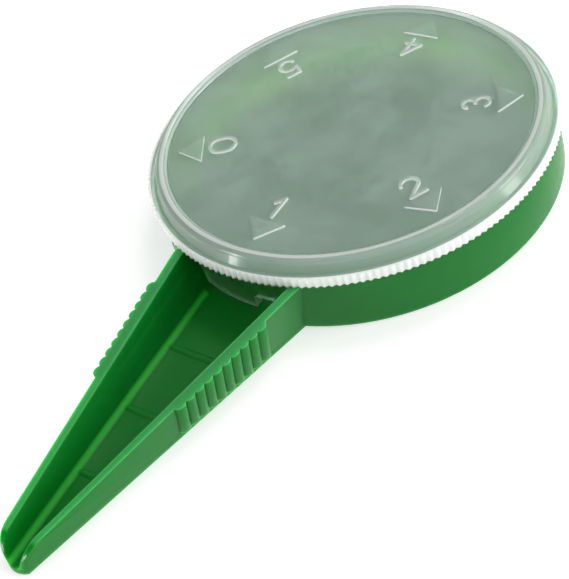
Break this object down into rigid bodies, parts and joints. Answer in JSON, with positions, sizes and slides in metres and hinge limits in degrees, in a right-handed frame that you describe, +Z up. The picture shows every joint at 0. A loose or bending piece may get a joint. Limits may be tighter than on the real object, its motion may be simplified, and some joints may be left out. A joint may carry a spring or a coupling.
{
  "type": "dial seed sower",
  "caption": "Hand seed sower: a green plastic pan with an open tapering chute, closed by a clear serrated dial with numbered seed gates that turns on it",
  "frame": {"origin": "centre of the pan's underside, on the dial's axis", "axes": "+Z up along the dial's axis, +X along the chute to its tip"},
  "size_m": [0.1148, 0.064, 0.0125],
  "materials": {
    "green_plastic": "gloss",
    "clear_plastic": "gloss"
  },
  "bodies": {
    "pan": {"pan_and_chute": "green_plastic"},
    "dial": {"dial_lid": "clear_plastic"}
  },
  "joints": [
    {"name": "dial_turn", "type": "hinge", "parent": "pan", "child": "dial", "pos_m": [0, 0, 0.009], "axis": [0, 0, 1], "continuous": true}
  ]
}
